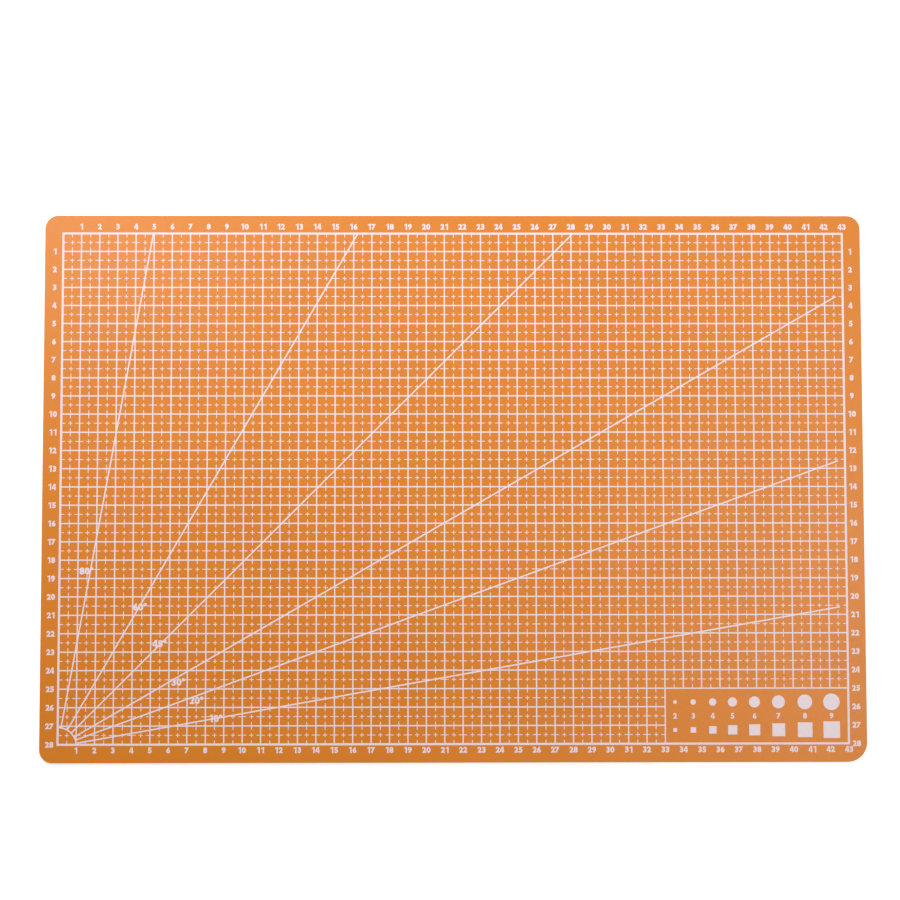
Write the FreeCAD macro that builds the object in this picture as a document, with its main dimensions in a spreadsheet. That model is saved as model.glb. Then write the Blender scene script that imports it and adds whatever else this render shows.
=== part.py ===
import FreeCAD, Part
import math
import os
import Sketcher

# Craft cutting mat: five bonded PVC plies, with a measuring print on the top one.
# Frame in millimetres: origin in the middle of the underside, +X along the long side, +Z up.

# Driving dimensions: alias, value, what it is.
SIZES = (
    ("mat_length", 450, "long side of the mat"),
    ("mat_width", 300, "short side of the mat"),
    ("corner_radius", 7.3, "rounding of three of the corners, seen from above"),
    ("wide_corner_radius", 10.7, "rounding of the lower right corner, which is cut rounder"),
    ("skin_thick", 0.8, "soft skin, the same on both faces"),
    ("hard_ply_thick", 0.4, "hard ply that stops the blade, one under each skin"),
    ("middle_ply_thick", 0.6, "soft ply between the hard ones"),
    ("edge_round", 0.2, "softened rim of the two skins"),
    ("ink_thick", 0.05, "printed ink film"),
    ("least_margin", 10, "least bare strip between the mat's edge and the border"),
    ("grid_pitch", 10, "one centimetre of the printed ruler"),
    ("grid_line", 0.7, "width of a grid line"),
    ("border_line", 1.15, "width of the border line"),
    ("fan_line", 0.75, "width of a ray of the angle fan"),
    ("fan_drop", 1, "the fan's centre lies this far below the border's corner"),
    ("fan_end_gap", 4, "a flat ray stops this far short of the right border"),
    ("arc_past", 0.3, "the corner arc's radius is this much over one centimetre of the ruler"),
    ("arc_line", 0.8, "width of the corner arc"),
    ("template_smallest", 2, "across the smallest circle and square"),
    ("template_largest", 9, "across the largest circle and square"),
)

# Rays of the angle fan, in degrees above the lower border.
FAN_ANGLES = (10, 20, 30, 45, 60, 80)

# The template panel takes up whole grid cells in the lower right corner.
PANEL_COLUMNS = 10
PANEL_ROWS = 3

# Middles of the templates along a row, as shares of the panel's length, from the smallest to the largest.
TEMPLATE_SHARES = (0.054, 0.153, 0.259, 0.367, 0.487, 0.618, 0.762, 0.907)

# Heights of the two template rows, as shares of the panel's height.
CIRCLE_ROW_SHARE = 0.75
SQUARE_ROW_SHARE = 0.247

# A whole number of cells is counted with this much slack, as a share of one cell.
CELL_SLACK_SHARE = 1e-6

# A speck of ray smaller than this share of its width squared isn't printed.
SPECK_SHARE = 0.02

# Two coordinates closer than this are the same.
SNAP = 1e-6


def fill_sheet(doc):
    """Write the driving dimensions into the spreadsheet, one row each."""
    sheet = doc.addObject("Spreadsheet::Sheet", "sizes")
    for row, (alias, value, note) in enumerate(SIZES, start=1):
        sheet.set(f"A{row}", alias)
        sheet.set(f"B{row}", str(value))
        sheet.setAlias(f"B{row}", alias)
        sheet.set(f"C{row}", note)
    doc.recompute()
    return sheet


def derive_layout(doc):
    """Work out the places that follow from the driving dimensions."""
    layout = doc.addObject("App::VarSet", "layout")
    steps = len(TEMPLATE_SHARES) - 1
    formulas = (
        ("printable_length", "sizes.mat_length - 2 * sizes.least_margin"),
        ("printable_width", "sizes.mat_width - 2 * sizes.least_margin"),
        ("columns", f"floor(printable_length / sizes.grid_pitch + {CELL_SLACK_SHARE})"),
        ("rows", f"floor(printable_width / sizes.grid_pitch + {CELL_SLACK_SHARE})"),
        ("border_x", "columns * sizes.grid_pitch / 2"),
        ("border_y", "rows * sizes.grid_pitch / 2"),
        ("lower_hard_base", "sizes.skin_thick"),
        ("middle_base", "lower_hard_base + sizes.hard_ply_thick"),
        ("upper_hard_base", "middle_base + sizes.middle_ply_thick"),
        ("top_skin_base", "upper_hard_base + sizes.hard_ply_thick"),
        ("print_base", "top_skin_base + sizes.skin_thick"),
        ("arc_radius", "sizes.grid_pitch + sizes.arc_past"),
        ("panel_length", f"{PANEL_COLUMNS} * sizes.grid_pitch"),
        ("panel_height", f"{PANEL_ROWS} * sizes.grid_pitch"),
        ("template_step", f"(sizes.template_largest - sizes.template_smallest) / {steps}"),
    )
    for name, formula in formulas:
        layout.addProperty("App::PropertyFloat", name, "Layout")
        layout.setExpression(name, formula)
    doc.recompute()
    return layout


def origin_plane(body, role):
    """Find one of a body's own origin planes."""
    return next(plane for plane in body.Origin.OriginFeatures if plane.Role == role)


def centred_rectangle(body, name):
    """Sketch the mat's outline with square corners, centred on the body's origin."""
    sketch = body.newObject("Sketcher::SketchObject", name)
    sketch.AttachmentSupport = [(origin_plane(body, "XY_Plane"), "")]
    sketch.MapMode = "FlatFace"
    corners = [FreeCAD.Vector(x, y, 0) for x, y in ((-1, -1), (1, -1), (1, 1), (-1, 1))]
    for start, end in zip(corners, corners[1:] + corners[:1]):
        sketch.addGeometry(Part.LineSegment(start, end), False)
    for line in range(4):
        sketch.addConstraint(Sketcher.Constraint("Coincident", line, 2, (line + 1) % 4, 1))
    for line in (0, 2):
        sketch.addConstraint(Sketcher.Constraint("Horizontal", line))
    for line in (1, 3):
        sketch.addConstraint(Sketcher.Constraint("Vertical", line))
    sketch.addConstraint(Sketcher.Constraint("Symmetric", 0, 1, 2, 1, -1, 1))
    length = sketch.addConstraint(Sketcher.Constraint("DistanceX", 0, 1, 0, 2, 1))
    width = sketch.addConstraint(Sketcher.Constraint("DistanceY", 1, 1, 1, 2, 1))
    sketch.setExpression(f"Constraints[{length}]", "sizes.mat_length")
    sketch.setExpression(f"Constraints[{width}]", "sizes.mat_width")
    return sketch


def edge_names(shape, wanted):
    """Names of the edges whose end points the test accepts."""
    return [f"Edge{i}" for i, edge in enumerate(shape.Edges, start=1) if wanted(edge.Vertexes)]


def round_edges(body, base, name, radius, wanted):
    """Round the chosen edges of a body's latest feature."""
    rounding = body.newObject("PartDesign::Fillet", name)
    rounding.Base = (base, edge_names(base.Shape, wanted))
    rounding.setExpression("Radius", radius)
    body.Document.recompute()
    return rounding


def is_upright(ends):
    """An edge that stands at a corner of the outline."""
    return len(ends) == 2 and abs(ends[0].Z - ends[1].Z) > SNAP


def at_lower_right(ends):
    """The upright edge at the lower right corner."""
    return is_upright(ends) and ends[0].X > 0 and ends[0].Y < 0


def at_other_corner(ends):
    """The upright edges at the other three corners."""
    return is_upright(ends) and not at_lower_right(ends)


def make_ply(doc, name, thickness, base):
    """One sheet of the laminate: the rounded outline, padded to the ply's thickness."""
    body = doc.addObject("PartDesign::Body", name)
    body.Label = name
    sheet_pad = body.newObject("PartDesign::Pad", name + "_pad")
    sheet_pad.Profile = centred_rectangle(body, name + "_outline")
    sheet_pad.setExpression("Length", thickness)
    doc.recompute()
    corners = round_edges(body, sheet_pad, name + "_corners", "sizes.corner_radius", at_other_corner)
    round_edges(body, corners, name + "_wide_corner", "sizes.wide_corner_radius", at_lower_right)
    body.setExpression("Placement.Base.z", base)
    doc.recompute()
    return body


def soften_rim(body, level):
    """Round the rim of a skin that faces outwards, at this height in the skin's own frame."""
    def on_rim(ends):
        return all(abs(end.Z - level) < SNAP for end in ends)
    round_edges(body, body.Tip, body.Name + "_rim", "sizes.edge_round", on_rim)


def make_plies(doc, sizes):
    """The five plies, from the table upwards."""
    bottom = make_ply(doc, "bottom_skin", "sizes.skin_thick", "0")
    lower = make_ply(doc, "lower_hard_ply", "sizes.hard_ply_thick", "layout.lower_hard_base")
    middle = make_ply(doc, "middle_soft_ply", "sizes.middle_ply_thick", "layout.middle_base")
    upper = make_ply(doc, "upper_hard_ply", "sizes.hard_ply_thick", "layout.upper_hard_base")
    top = make_ply(doc, "top_skin", "sizes.skin_thick", "layout.top_skin_base")
    soften_rim(bottom, 0)
    soften_rim(top, sizes.skin_thick)
    return [bottom, lower, middle, upper, top]


def rectangle(low_x, low_y, high_x, high_y):
    """Corners of an upright rectangle, anticlockwise."""
    return [(low_x, low_y), (high_x, low_y), (high_x, high_y), (low_x, high_y)]


def bare_cells(sizes, layout):
    """The bare rectangles that the border and the grid lines leave between them, the panel's first."""
    columns = round(layout.columns)
    rows = round(layout.rows)

    def spans(count, border, pitch):
        # Each cell starts and ends at the edge of a line, and the outer lines are the border's.
        half_widths = [sizes.grid_line / 2] * (count + 1)
        half_widths[0] = half_widths[count] = sizes.border_line / 2
        lines = [i * pitch - border for i in range(count + 1)]
        return [(lines[i] + half_widths[i], lines[i + 1] - half_widths[i + 1]) for i in range(count)]

    across = spans(columns, layout.border_x, sizes.grid_pitch)
    upwards = spans(rows, layout.border_y, sizes.grid_pitch)
    first_panel_column = columns - PANEL_COLUMNS
    panel_left = across[first_panel_column][0]
    panel_top = upwards[PANEL_ROWS - 1][1]
    panel = rectangle(panel_left, upwards[0][0], across[-1][1], panel_top)
    cells = [
        rectangle(low_x, low_y, high_x, high_y)
        for column, (low_x, high_x) in enumerate(across)
        for row, (low_y, high_y) in enumerate(upwards)
        if column < first_panel_column or row >= PANEL_ROWS
    ]
    return panel, cells


def closed_wire(points):
    """A closed wire through flat points."""
    corners = [FreeCAD.Vector(x, y, 0) for x, y in points]
    return Part.makePolygon(corners + corners[:1])


def ink_film(doc, name, faces, sizes, layout):
    """Ink of the film's thickness over flat faces, lying on the top skin."""
    films = [face.extrude(FreeCAD.Vector(0, 0, sizes.ink_thick)) for face in faces]
    film = doc.addObject("Part::Feature", name)
    film.Label = name
    film.Shape = films[0] if len(films) == 1 else Part.makeCompound(films)
    film.Placement = FreeCAD.Placement(FreeCAD.Vector(0, 0, layout.print_base), FreeCAD.Rotation())
    return film


def make_grid(doc, sizes, layout):
    """The border and the grid: ink with a bare hole for each cell and for the panel.

    The film is laid in bands that meet along the middle of a grid line: the lowest is as high as the
    panel, and each other one holds one row of cells.
    """
    panel, cells = bare_cells(sizes, layout)
    reach_x = layout.border_x + sizes.border_line / 2
    reach_y = layout.border_y + sizes.border_line / 2
    seam_rows = range(PANEL_ROWS, round(layout.rows))
    seams = [row * sizes.grid_pitch - layout.border_y for row in seam_rows]
    bands = []
    for low, high in zip([-reach_y] + seams, seams + [reach_y]):
        outline = closed_wire(rectangle(-reach_x, low, reach_x, high))
        holes = [closed_wire(hole[::-1]) for hole in [panel] + cells if low < hole[0][1] < high]
        bands.append(Part.Face([outline] + holes))
    return ink_film(doc, "printed_grid", bands, sizes, layout)


def clip(points, normal_x, normal_y, limit):
    """The part of a convex outline where the point's reach along the normal is at most the limit."""
    kept = []
    for (x0, y0), (x1, y1) in zip(points, points[1:] + points[:1]):
        over0 = normal_x * x0 + normal_y * y0 - limit
        over1 = normal_x * x1 + normal_y * y1 - limit
        if over0 <= 0:
            kept.append((x0, y0))
        if over0 * over1 < 0:
            share = over0 / (over0 - over1)
            kept.append((x0 + share * (x1 - x0), y0 + share * (y1 - y0)))
    return kept


def area(points):
    """Area of a flat outline."""
    pairs = zip(points, points[1:] + points[:1])
    return abs(sum(x0 * y1 - x1 * y0 for (x0, y0), (x1, y1) in pairs)) / 2


def make_angle_lines(doc, sizes, layout):
    """The rays of the angle fan, in the cells that they cross. The grid's own ink fills the rest."""
    centre_x = -layout.border_x
    centre_y = -layout.border_y - sizes.fan_drop
    start = layout.arc_radius + sizes.arc_line / 2
    cells = bare_cells(sizes, layout)[1]
    faces = []
    for angle in FAN_ANGLES:
        along_x = math.cos(math.radians(angle))
        along_y = math.sin(math.radians(angle))
        off_axis = centre_y * along_x - centre_x * along_y
        nearest = centre_x * along_x + centre_y * along_y + start
        for cell in cells:
            piece = clip(cell, -along_y, along_x, off_axis + sizes.fan_line / 2)
            piece = clip(piece, along_y, -along_x, sizes.fan_line / 2 - off_axis)
            piece = clip(piece, -along_x, -along_y, -nearest)
            piece = clip(piece, 1, 0, layout.border_x - sizes.fan_end_gap)
            if len(piece) > 2 and area(piece) > SPECK_SHARE * sizes.fan_line ** 2:
                faces.append(Part.Face(closed_wire(piece)))
    return ink_film(doc, "printed_angle_lines", faces, sizes, layout)


def make_arc(doc):
    """The quarter arc about the fan's centre, kept inside the corner cell."""
    discs = []
    for side, name in ((1, "arc_outside"), (-1, "arc_inside")):
        disc = doc.addObject("Part::Cylinder", name)
        disc.setExpression("Radius", f"layout.arc_radius + {side} * sizes.arc_line / 2")
        disc.setExpression("Height", "sizes.ink_thick")
        disc.setExpression("Placement.Base.x", "-layout.border_x")
        disc.setExpression("Placement.Base.y", "-layout.border_y - sizes.fan_drop")
        disc.setExpression("Placement.Base.z", "layout.print_base")
        discs.append(disc)
    ring = doc.addObject("Part::Cut", "arc_ring")
    ring.Base, ring.Tool = discs
    cell = doc.addObject("Part::Box", "corner_cell")
    for side in ("Length", "Width"):
        cell.setExpression(side, "sizes.grid_pitch - sizes.border_line / 2 - sizes.grid_line / 2")
    cell.setExpression("Height", "sizes.ink_thick")
    cell.setExpression("Placement.Base.x", "sizes.border_line / 2 - layout.border_x")
    cell.setExpression("Placement.Base.y", "sizes.border_line / 2 - layout.border_y")
    cell.setExpression("Placement.Base.z", "layout.print_base")
    arc = doc.addObject("Part::Common", "printed_angle_arc")
    arc.Label = "printed_angle_arc"
    arc.Base = ring
    arc.Tool = cell
    return arc


def make_templates(doc, name, kind, row_share):
    """One row of filled templates, growing to the right."""
    row_middle = f"({row_share} * layout.panel_height - layout.border_y)"
    shapes = []
    for index, share in enumerate(TEMPLATE_SHARES):
        size = f"(sizes.template_smallest + {index} * layout.template_step)"
        middle = f"(layout.border_x - {1 - share:.3f} * layout.panel_length)"
        shape = doc.addObject(kind, f"{name}_{index}")
        shape.setExpression("Height", "sizes.ink_thick")
        shape.setExpression("Placement.Base.z", "layout.print_base")
        if kind == "Part::Cylinder":
            shape.setExpression("Radius", f"{size} / 2")
            shape.setExpression("Placement.Base.x", middle)
            shape.setExpression("Placement.Base.y", row_middle)
        else:
            shape.setExpression("Length", size)
            shape.setExpression("Width", size)
            shape.setExpression("Placement.Base.x", f"{middle} - {size} / 2")
            shape.setExpression("Placement.Base.y", f"{row_middle} - {size} / 2")
        shapes.append(shape)
    group = doc.addObject("Part::Compound", name)
    group.Label = name
    group.Links = shapes
    return group


def check(doc, nodes):
    """Stop before anything is written if an object failed or a solid isn't sound."""
    for item in doc.Objects:
        if "Invalid" in item.State or "Error" in item.State:
            raise RuntimeError(f"{item.Name} failed: {item.State}")
    for node in nodes:
        if node.Shape.isNull() or not node.Shape.isValid() or not node.Shape.Solids:
            raise RuntimeError(f"{node.Label} has no sound solid")


def main():
    doc = FreeCAD.newDocument("cutting_mat")
    sizes = fill_sheet(doc)
    layout = derive_layout(doc)
    nodes = make_plies(doc, sizes)
    nodes.append(make_grid(doc, sizes, layout))
    nodes.append(make_angle_lines(doc, sizes, layout))
    nodes.append(make_arc(doc))
    nodes.append(make_templates(doc, "printed_circles", "Part::Cylinder", CIRCLE_ROW_SHARE))
    nodes.append(make_templates(doc, "printed_squares", "Part::Box", SQUARE_ROW_SHARE))
    doc.recompute()
    check(doc, nodes)
    os.makedirs("parts", exist_ok=True)
    for node in nodes:
        shape = node.Shape
        print(f"{node.Label}: {len(shape.Solids)} solids, {shape.Volume:.3f} cubic mm")
        shape.exportStep(f"parts/{node.Label}.step")


main()
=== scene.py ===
import math

import bmesh
import bpy
from mathutils import Matrix, Vector


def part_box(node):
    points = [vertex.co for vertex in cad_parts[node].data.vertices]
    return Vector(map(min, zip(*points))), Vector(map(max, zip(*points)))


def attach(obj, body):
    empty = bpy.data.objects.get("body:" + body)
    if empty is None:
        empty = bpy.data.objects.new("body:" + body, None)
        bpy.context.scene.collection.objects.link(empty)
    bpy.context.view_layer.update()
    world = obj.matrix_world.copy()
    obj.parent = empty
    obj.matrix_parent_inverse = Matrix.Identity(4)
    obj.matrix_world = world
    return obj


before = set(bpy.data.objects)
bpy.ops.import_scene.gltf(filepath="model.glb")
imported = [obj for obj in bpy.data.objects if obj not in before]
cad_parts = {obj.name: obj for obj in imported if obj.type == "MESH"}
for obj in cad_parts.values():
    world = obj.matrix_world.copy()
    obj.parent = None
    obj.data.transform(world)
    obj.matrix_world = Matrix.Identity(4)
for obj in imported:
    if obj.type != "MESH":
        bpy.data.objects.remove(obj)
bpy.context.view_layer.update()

# Craft cutting mat: the plies and the main print come from the frame, and the fine print is added here.
# Lengths are in metres.
MM = 0.001

# The printed ruler.
PITCH = 10 * MM
BORDER_LINE = 1.15 * MM
PANEL_COLUMNS = 10
PANEL_ROWS = 3

# Dashes that mark the half centimetres: three to a cell, each way.
DASH_WIDTH = 0.42 * MM
DASH_LENGTH = 2.25 * MM

# Ink heights over the grid's own film, so that prints that cross don't lie in one plane.
ACROSS_DASH_SHARE = 0.7
UPRIGHT_DASH_SHARE = 0.85
NUMBER_SHARE = 1.0
LABEL_SHARE = 1.2

# Numbers of the four rulers.
NUMBER_HEIGHT = 3.4 * MM
NUMBER_STROKE_SHARE = 0.05
TOP_NUMBER_GAP = 3.8 * MM
BOTTOM_NUMBER_GAP = 3.1 * MM
LEFT_NUMBER_GAP = 4.5 * MM
RIGHT_NUMBER_GAP = 4.3 * MM

# Digits, in shares of their height: how much wider than the plain font, the room each takes up, the
# gap before a degree mark, the outline of a one with its flag, and that of a four with its counter.
DIGIT_STRETCH = 1.04
DIGIT_ROOM = 0.675
DEGREE_GAP = 0.02
ONE_OUTLINE = (
    (0.22, 0), (0.44, 0), (0.44, 1), (0.26, 1), (0, 0.84), (0, 0.66), (0.22, 0.77),
)
FOUR_OUTLINE = (
    (0.36, 0), (0.57, 0), (0.57, 0.2), (0.67, 0.2), (0.67, 0.38), (0.57, 0.38),
    (0.57, 1), (0.31, 1), (0, 0.39), (0, 0.2), (0.36, 0.2),
)
FOUR_COUNTER = ((0.36, 0.38), (0.36, 0.71), (0.19, 0.38))

# Angle labels: degrees, and the label's middle from the lower left corner of the border.
LABEL_HEIGHT = 4.15 * MM
LABEL_STROKE_SHARE = 0.05
ANGLE_LABELS = (
    (80, 14.6 * MM, 94.1 * MM),
    (60, 44.0 * MM, 74.5 * MM),
    (45, 54.8 * MM, 54.5 * MM),
    (30, 65.2 * MM, 33.7 * MM),
    (20, 75.1 * MM, 23.8 * MM),
    (10, 85.7 * MM, 14.0 * MM),
)

# Digits of the template panel: the millimetres across each circle and square, and the share of the
# panel's length at which the templates stand.
TEMPLATE_DIGITS = (
    ("2", 0.054), ("3", 0.153), ("4", 0.259), ("5", 0.367),
    ("6", 0.487), ("7", 0.618), ("8", 0.762), ("9", 0.907),
)
TEMPLATE_DIGIT_HEIGHT = 3.2 * MM
TEMPLATE_DIGIT_STROKE_SHARE = 0.04
TEMPLATE_DIGIT_RISE = 15.0 * MM

# Writing: steps along each curve of the font, and how close corners are before they are made one.
CURVE_STEPS = 3
WELD = 0.001 * MM

# Finishes: the two colours between which each one drifts.
SKIN_COLOURS = ((0.60, 0.179, 0.008), (0.635, 0.192, 0.011))
INK_COLOURS = ((0.775, 0.66, 0.69), (0.745, 0.625, 0.65))
HARD_PLY_COLOURS = ((0.64, 0.46, 0.29), (0.82, 0.64, 0.45))
SOFT_PLY_COLOURS = ((0.54, 0.145, 0.011), (0.67, 0.2, 0.022))

# Patterns of the finishes, in features per metre, and how deep they are.
SKIN_CLOUDS = 14
SKIN_GLOSS_PATCHES = 420
GRAINS = 1300
GRAIN_DEPTH = 0.06 * MM
INK_THIN_PATCHES = 900
EDGE_STREAKS = 260
EDGE_STREAK_STRETCH = 12
EDGE_STREAK_DEPTH = 0.04 * MM

# The part of a pattern's range that holds most of it.
PATTERN_LOW = 0.3
PATTERN_HIGH = 0.7

# Stage: light from all round, and the floor's own glow, which lifts its shadow near the mat and hides
# its far edge.
SKY_LIGHT = 0.165
FLOOR_REACH = 3.0
FLOOR_COLOUR = (0.82, 0.82, 0.82)
FLOOR_GLOW = 0.55
FLOOR_NEAR = 0.3
FLOOR_FAR = 0.9
FLOOR_GAP = 0.2 * MM
WHITE = (1, 1, 1, 1)

# Soft lamps: name, place, the point they face, width, height and power in watts.
LAMPS = (
    ("far_side", (0.03, 0.36, 0.38), (0, 0, 0), 0.9, 0.35, 1.5),
    ("left_corner", (-0.39, 0.41, 0.8), (-0.2, 0.1, 0), 0.35, 0.35, 4.4),
    ("right_side", (0.52, -0.06, 1.05), (0.1, -0.05, 0), 0.4, 0.5, 5.2),
)

# Camera, as the photograph was taken: nearly straight down, with a portrait lens.
CAMERA_PLACE = Vector((-0.0138, -0.0635, 1.1751))
CAMERA_AIM = Vector((-0.00197, 0.02017, 0.003))
CAMERA_ROLL = math.radians(-0.07)
SENSOR = 36.0
LENS = 85.69

grid_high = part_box("printed_grid")[1]
skin_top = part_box("top_skin")[1].z
film = grid_high.z - skin_top
border_x = grid_high.x - BORDER_LINE / 2
border_y = grid_high.y - BORDER_LINE / 2
columns = round(2 * border_x / PITCH)
rows = round(2 * border_y / PITCH)


# Materials

def new_material(name):
    """A material with its node tree, its main shader and its object coordinates."""
    material = bpy.data.materials.new(name)
    material.use_nodes = True
    tree = material.node_tree
    shader = tree.nodes["Principled BSDF"]
    place = tree.nodes.new("ShaderNodeTexCoord").outputs["Object"]
    return material, tree, shader, place


def noise(tree, place, scale, detail=2.0, roughness=0.5):
    """Cloudy noise at a scale in features per metre."""
    node = tree.nodes.new("ShaderNodeTexNoise")
    node.inputs["Scale"].default_value = scale
    node.inputs["Detail"].default_value = detail
    node.inputs["Roughness"].default_value = roughness
    tree.links.new(place, node.inputs["Vector"])
    return node.outputs["Fac"]


def pebbles(tree, place, scale):
    """Rounded grains at a scale in grains per metre."""
    node = tree.nodes.new("ShaderNodeTexVoronoi")
    node.inputs["Scale"].default_value = scale
    tree.links.new(place, node.inputs["Vector"])
    return node.outputs["Distance"]


def mix_colour(tree, factor, colours):
    """Blend two colours by a pattern."""
    node = tree.nodes.new("ShaderNodeMix")
    node.data_type = "RGBA"
    tree.links.new(factor, node.inputs["Factor"])
    for socket, colour in zip("AB", colours):
        node.inputs[socket].default_value = (*colour, 1)
    return node.outputs["Result"]


def spread(tree, value, low, high):
    """Stretch a pattern's middle range to run from low to high."""
    node = tree.nodes.new("ShaderNodeMapRange")
    tree.links.new(value, node.inputs["Value"])
    node.inputs["From Min"].default_value = PATTERN_LOW
    node.inputs["From Max"].default_value = PATTERN_HIGH
    node.inputs["To Min"].default_value = low
    node.inputs["To Max"].default_value = high
    return node.outputs["Result"]


def bump(tree, shader, height, strength, distance):
    """Raise the surface by a pattern."""
    node = tree.nodes.new("ShaderNodeBump")
    node.inputs["Strength"].default_value = strength
    node.inputs["Distance"].default_value = distance
    tree.links.new(height, node.inputs["Height"])
    tree.links.new(node.outputs["Normal"], shader.inputs["Normal"])


def orange_skin():
    """Soft orange PVC, pressed with a fine pebble grain."""
    material, tree, shader, place = new_material("orange_skin")
    clouds = spread(tree, noise(tree, place, SKIN_CLOUDS, detail=4), 0, 1)
    colour = mix_colour(tree, clouds, SKIN_COLOURS)
    tree.links.new(colour, shader.inputs["Base Color"])
    gloss = spread(tree, noise(tree, place, SKIN_GLOSS_PATCHES, detail=3), 0.36, 0.42)
    tree.links.new(gloss, shader.inputs["Roughness"])
    shader.inputs["Specular IOR Level"].default_value = 0.27
    bump(tree, shader, pebbles(tree, place, GRAINS), 0.6, GRAIN_DEPTH)
    return material


def pale_ink():
    """Off-white screen ink, a little thin in places."""
    material, tree, shader, place = new_material("pale_ink")
    thin = spread(tree, noise(tree, place, INK_THIN_PATCHES, detail=3), 0, 1)
    colour = mix_colour(tree, thin, INK_COLOURS)
    tree.links.new(colour, shader.inputs["Base Color"])
    shader.inputs["Roughness"].default_value = 0.55
    shader.inputs["Specular IOR Level"].default_value = 0.25
    bump(tree, shader, pebbles(tree, place, GRAINS), 0.4, GRAIN_DEPTH)
    return material


def cut_edge(name, colours):
    """A ply's sawn edge: fine streaks along the sheet."""
    material, tree, shader, place = new_material(name)
    stretch = tree.nodes.new("ShaderNodeMapping")
    stretch.inputs["Scale"].default_value = (1, 1, EDGE_STREAK_STRETCH)
    tree.links.new(place, stretch.inputs["Vector"])
    streaks = noise(tree, stretch.outputs["Vector"], EDGE_STREAKS, detail=4, roughness=0.6)
    colour = mix_colour(tree, spread(tree, streaks, 0, 1), colours)
    tree.links.new(colour, shader.inputs["Base Color"])
    shader.inputs["Roughness"].default_value = 0.6
    bump(tree, shader, streaks, 0.25, EDGE_STREAK_DEPTH)
    return material


def dress(material, *nodes):
    """Give CAD nodes their finish."""
    for node in nodes:
        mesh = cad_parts[node].data
        mesh.materials.clear()
        mesh.materials.append(material)


# Fine print

def as_mesh(name, shape):
    """Hand a bmesh over to a mesh."""
    mesh = bpy.data.meshes.new(name)
    shape.to_mesh(mesh)
    shape.free()
    return mesh


def add_piece(name, shape, material):
    """Turn a bmesh into a piece of the mat, printed in ink."""
    bmesh.ops.recalc_face_normals(shape, faces=shape.faces)
    mesh = as_mesh(name, shape)
    mesh.materials.append(material)
    piece = bpy.data.objects.new(name, mesh)
    bpy.context.scene.collection.objects.link(piece)
    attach(piece, "root")


def stamp(shape, print_mesh, place):
    """Add a copy of a small print to a larger one, moved to its place."""
    before = len(shape.verts)
    shape.from_mesh(print_mesh)
    shape.verts.ensure_lookup_table()
    bmesh.ops.translate(shape, verts=shape.verts[before:], vec=place)


def dash(shape, x, y, length, width, height):
    """One flat dash of ink about a point of the cell."""
    place = Matrix.Translation((x, y, height / 2)) @ Matrix.Diagonal((length, width, height, 1))
    bmesh.ops.create_cube(shape, size=1, matrix=place)


def cell_dashes():
    """The dashes of one cell about its middle: a plus, and one dash in from the middle of each side."""
    shape = bmesh.new()
    reach = PITCH / 2 - DASH_LENGTH / 2
    for along in (-reach, 0, reach):
        dash(shape, along, 0, DASH_LENGTH, DASH_WIDTH, ACROSS_DASH_SHARE * film)
        dash(shape, 0, along, DASH_WIDTH, DASH_LENGTH, UPRIGHT_DASH_SHARE * film)
    return as_mesh("cell_dashes", shape)


def column_dashes(first_row):
    """The dashes of one column of cells, from the first row up to the top border."""
    cell = cell_dashes()
    shape = bmesh.new()
    for row in range(first_row, rows):
        stamp(shape, cell, (0, (row + 0.5) * PITCH - border_y, skin_top))
    bpy.data.meshes.remove(cell)
    return as_mesh("column_dashes", shape)


def half_centimetre_dashes(ink):
    """The dashes of every cell outside the template panel."""
    whole = column_dashes(0)
    over_panel = column_dashes(PANEL_ROWS)
    shape = bmesh.new()
    for column in range(columns):
        dashes = whole if column < columns - PANEL_COLUMNS else over_panel
        stamp(shape, dashes, ((column + 0.5) * PITCH - border_x, 0, 0))
    bpy.data.meshes.remove(whole)
    bpy.data.meshes.remove(over_panel)
    add_piece("half_centimetre_dashes", shape, ink)


def flat_text(text, stroke_share):
    """Upright writing in the plain font at unit size, as a flat mesh."""
    curve = bpy.data.curves.new("number", "FONT")
    curve.body = text
    curve.offset = stroke_share
    curve.resolution_u = CURVE_STEPS
    writing = bpy.data.objects.new("number", curve)
    mesh = bpy.data.meshes.new_from_object(writing)
    bpy.data.objects.remove(writing)
    bpy.data.curves.remove(curve)
    return mesh


def span(mesh, axis):
    """Lowest and highest coordinate of a mesh along one axis."""
    along = [vertex.co[axis] for vertex in mesh.vertices]
    return min(along), max(along)


def drawn_digit(*loops):
    """A straight-sided digit as a flat mesh of unit height, filled between its outline and its counter."""
    shape = bmesh.new()
    for loop in loops:
        corners = [shape.verts.new((x, y, 0)) for x, y in loop]
        for corner, following in zip(corners, corners[1:] + corners[:1]):
            shape.edges.new((corner, following))
    bmesh.ops.triangle_fill(shape, edges=shape.edges, use_beauty=True)
    return as_mesh("digit", shape)


def font_character(character, stroke_share):
    """A character of the plain font as a flat mesh, at the size that makes its digits of unit height."""
    digits = flat_text("0123456789", stroke_share)
    foot, head = span(digits, 1)
    bpy.data.meshes.remove(digits)
    mesh = flat_text(character, stroke_share)
    size = 1 / (head - foot)
    mesh.transform(Matrix.Translation((0, -foot, 0)))
    mesh.transform(Matrix.Diagonal((size, size, 1, 1)))
    return mesh


def nine(six):
    """The digit nine: a six turned upside down."""
    mesh = six.copy()
    mesh.transform(Matrix.Translation((0, 1, 0)) @ Matrix.Rotation(math.pi, 4, "Z"))
    return mesh


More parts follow.
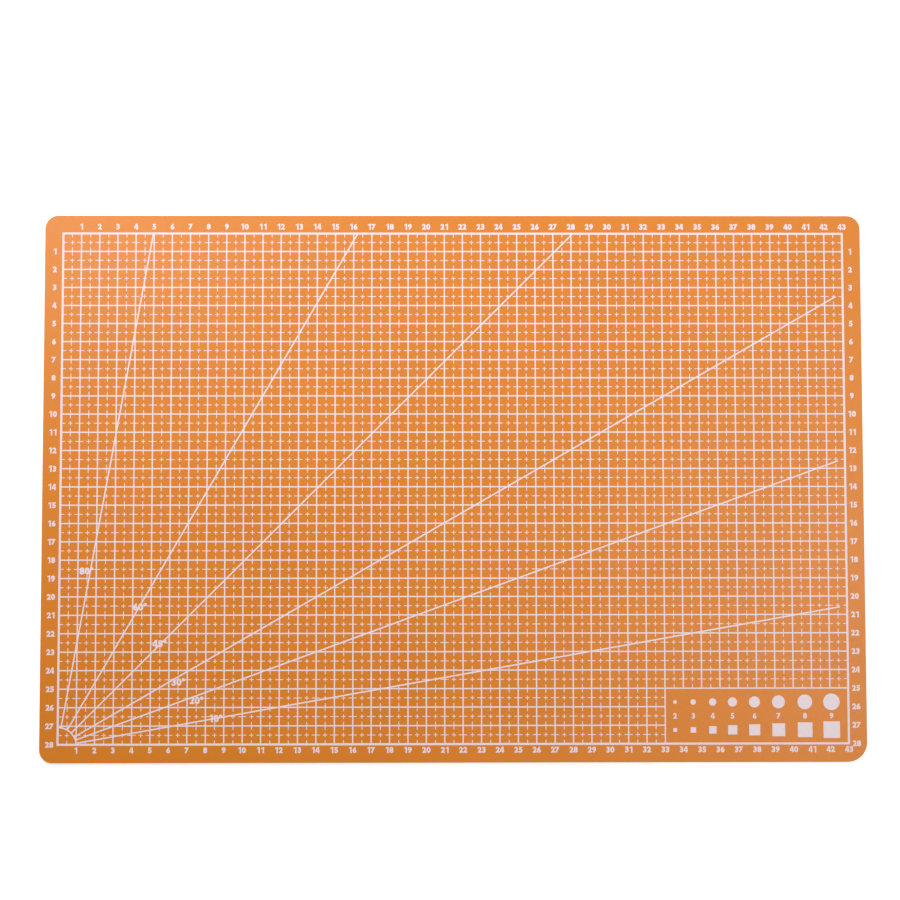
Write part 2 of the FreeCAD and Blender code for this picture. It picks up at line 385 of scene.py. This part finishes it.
def characters(stroke_share):
    """Each character that the numbers use, flat and of unit height, with its middle over nought."""
    meshes = {"1": drawn_digit(ONE_OUTLINE), "4": drawn_digit(FOUR_OUTLINE, FOUR_COUNTER)}
    for character in "0235678°":
        meshes[character] = font_character(character, stroke_share)
    meshes["9"] = nine(meshes["6"])
    for mesh in meshes.values():
        left, right = span(mesh, 0)
        mesh.transform(Matrix.Translation((-(left + right) / 2, 0, 0)))
        mesh.transform(Matrix.Diagonal((DIGIT_STRETCH, 1, 1, 1)))
    return meshes


def number_print(text, meshes, height, thickness):
    """A number as a film of ink, centred on its own middle. The height is that of its digits."""
    shape = bmesh.new()
    reach = 0
    for character in text:
        left, right = span(meshes[character], 0)
        room = DIGIT_ROOM if character.isdigit() else DEGREE_GAP + right - left
        stamp(shape, meshes[character], (reach + room / 2, 0, 0))
        reach += room
    across = [vertex.co.x for vertex in shape.verts]
    middle = (min(across) + max(across)) / 2
    bmesh.ops.translate(shape, verts=shape.verts, vec=(-middle, -0.5, 0))
    bmesh.ops.scale(shape, verts=shape.verts, vec=(height, height, 1))
    bmesh.ops.remove_doubles(shape, verts=shape.verts, dist=WELD)
    bmesh.ops.dissolve_degenerate(shape, edges=shape.edges, dist=WELD)
    raised = bmesh.ops.extrude_face_region(shape, geom=shape.faces[:], use_keep_orig=True)
    top = [item for item in raised["geom"] if isinstance(item, bmesh.types.BMVert)]
    bmesh.ops.translate(shape, verts=top, vec=(0, 0, thickness))
    for face in shape.faces:
        face.smooth = False
    return as_mesh("number", shape)


def print_numbers(name, ink, numbers, height, stroke_share, share):
    """One piece of several numbers, each a text and the place of its middle on the mat."""
    meshes = characters(stroke_share)
    shape = bmesh.new()
    for text, x, y in numbers:
        number = number_print(text, meshes, height, share * film)
        stamp(shape, number, (x, y, skin_top))
        bpy.data.meshes.remove(number)
    for mesh in meshes.values():
        bpy.data.meshes.remove(mesh)
    add_piece(name, shape, ink)


def ruler_numbers(ink):
    """Centimetres along the four sides: counted from the left, and down from the top."""
    across = [(str(n), n * PITCH - border_x) for n in range(1, columns + 1)]
    down = [(str(n), border_y - n * PITCH) for n in range(1, rows + 1)]
    rulers = (
        ("top_numbers", [(text, x, border_y + TOP_NUMBER_GAP) for text, x in across]),
        ("bottom_numbers", [(text, x, -border_y - BOTTOM_NUMBER_GAP) for text, x in across]),
        ("left_numbers", [(text, -border_x - LEFT_NUMBER_GAP, y) for text, y in down]),
        ("right_numbers", [(text, border_x + RIGHT_NUMBER_GAP, y) for text, y in down]),
    )
    for name, numbers in rulers:
        print_numbers(name, ink, numbers, NUMBER_HEIGHT, NUMBER_STROKE_SHARE, NUMBER_SHARE)


def angle_labels(ink):
    """The degrees beside each ray of the angle fan."""
    labels = [(f"{angle}°", x - border_x, y - border_y) for angle, x, y in ANGLE_LABELS]
    print_numbers("angle_labels", ink, labels, LABEL_HEIGHT, LABEL_STROKE_SHARE, LABEL_SHARE)


def template_digits(ink):
    """The millimetres across, between each circle and its square."""
    panel_length = PANEL_COLUMNS * PITCH
    y = TEMPLATE_DIGIT_RISE - border_y
    digits = [(digit, border_x - (1 - share) * panel_length, y) for digit, share in TEMPLATE_DIGITS]
    height = TEMPLATE_DIGIT_HEIGHT
    print_numbers("template_digits", ink, digits, height, TEMPLATE_DIGIT_STROKE_SHARE, NUMBER_SHARE)


# Stage

def seen_directly(tree):
    """One for rays from the camera and through gloss or glass, and nought for light on its way."""
    path = tree.nodes.new("ShaderNodeLightPath")
    seen = path.outputs["Is Camera Ray"]
    for kind in ("Is Glossy Ray", "Is Transmission Ray"):
        either = tree.nodes.new("ShaderNodeMath")
        either.operation = "MAXIMUM"
        tree.links.new(seen, either.inputs[0])
        tree.links.new(path.outputs[kind], either.inputs[1])
        seen = either.outputs["Value"]
    return seen


def between(tree, seen, away, at):
    """A strength for light on its way and another for what is seen."""
    node = tree.nodes.new("ShaderNodeMapRange")
    node.inputs["To Min"].default_value = away
    node.inputs["To Max"].default_value = at
    tree.links.new(seen, node.inputs["Value"])
    return node.outputs["Result"]


def far_from_middle(tree, place):
    """The floor's glow: low by the mat, where the shadow falls, and full further out."""
    reach = tree.nodes.new("ShaderNodeVectorMath")
    reach.operation = "LENGTH"
    tree.links.new(place, reach.inputs[0])
    node = tree.nodes.new("ShaderNodeMapRange")
    node.inputs["From Min"].default_value = FLOOR_NEAR
    node.inputs["From Max"].default_value = FLOOR_FAR
    node.inputs["To Min"].default_value = FLOOR_GLOW
    node.inputs["To Max"].default_value = 1
    tree.links.new(reach.outputs["Value"], node.inputs["Value"])
    return node.outputs["Result"]


def white_floor():
    """A plain white floor that looks white and keeps a soft shadow."""
    shape = bmesh.new()
    bmesh.ops.create_grid(shape, x_segments=1, y_segments=1, size=FLOOR_REACH)
    bmesh.ops.translate(shape, verts=shape.verts, vec=(0, 0, -FLOOR_GAP))
    mesh = as_mesh("floor", shape)
    material = bpy.data.materials.new("floor_white")
    material.use_nodes = True
    tree = material.node_tree
    shader = tree.nodes["Principled BSDF"]
    shader.inputs["Base Color"].default_value = (*FLOOR_COLOUR, 1)
    shader.inputs["Roughness"].default_value = 0.9
    shader.inputs["Specular IOR Level"].default_value = 0
    shader.inputs["Emission Color"].default_value = WHITE
    place = tree.nodes.new("ShaderNodeTexCoord").outputs["Object"]
    glow = tree.nodes.new("ShaderNodeMath")
    glow.operation = "MULTIPLY"
    tree.links.new(seen_directly(tree), glow.inputs[0])
    tree.links.new(far_from_middle(tree, place), glow.inputs[1])
    tree.links.new(glow.outputs["Value"], shader.inputs["Emission Strength"])
    mesh.materials.append(material)
    floor = bpy.data.objects.new("floor", mesh)
    bpy.context.scene.collection.objects.link(floor)


def studio_world():
    """Even pale light from all round, seen as white."""
    world = bpy.data.worlds.new("studio")
    bpy.context.scene.world = world
    world.use_nodes = True
    tree = world.node_tree
    sky = tree.nodes["Background"]
    sky.inputs["Color"].default_value = WHITE
    strength = between(tree, seen_directly(tree), SKY_LIGHT, 1)
    tree.links.new(strength, sky.inputs["Strength"])


def softbox(name, place, aim, width, height, power):
    """An oblong soft light turned towards a point, and not seen itself."""
    light = bpy.data.lights.new(name, "AREA")
    light.shape = "RECTANGLE"
    light.size = width
    light.size_y = height
    light.energy = power
    lamp = bpy.data.objects.new(name, light)
    lamp.location = place
    lamp.rotation_euler = (Vector(aim) - Vector(place)).to_track_quat("-Z", "Y").to_euler()
    lamp.visible_camera = False
    bpy.context.scene.collection.objects.link(lamp)


def camera():
    """The photograph's view, with the mat's far edge up."""
    forward = (CAMERA_AIM - CAMERA_PLACE).normalized()
    right = forward.cross(Vector((0, 1, 0))).normalized()
    up = right.cross(forward)
    turned_right = math.cos(CAMERA_ROLL) * right + math.sin(CAMERA_ROLL) * up
    turned_up = math.cos(CAMERA_ROLL) * up - math.sin(CAMERA_ROLL) * right
    data = bpy.data.cameras.new("camera")
    data.sensor_width = SENSOR
    data.lens = LENS
    seat = bpy.data.objects.new("camera", data)
    turn = Matrix((turned_right, turned_up, -forward)).transposed().to_4x4()
    seat.matrix_world = Matrix.Translation(CAMERA_PLACE) @ turn
    bpy.context.scene.collection.objects.link(seat)
    bpy.context.scene.camera = seat


ink = pale_ink()
dress(orange_skin(), "top_skin", "bottom_skin")
dress(cut_edge("hard_ply_edge", HARD_PLY_COLOURS), "upper_hard_ply", "lower_hard_ply")
dress(cut_edge("soft_ply_edge", SOFT_PLY_COLOURS), "middle_soft_ply")
dress(ink, "printed_grid", "printed_angle_lines", "printed_angle_arc")
dress(ink, "printed_circles", "printed_squares")
half_centimetre_dashes(ink)
ruler_numbers(ink)
angle_labels(ink)
template_digits(ink)

white_floor()
studio_world()
for lamp in LAMPS:
    softbox(*lamp)
camera()
bpy.context.scene.view_settings.view_transform = "Standard"
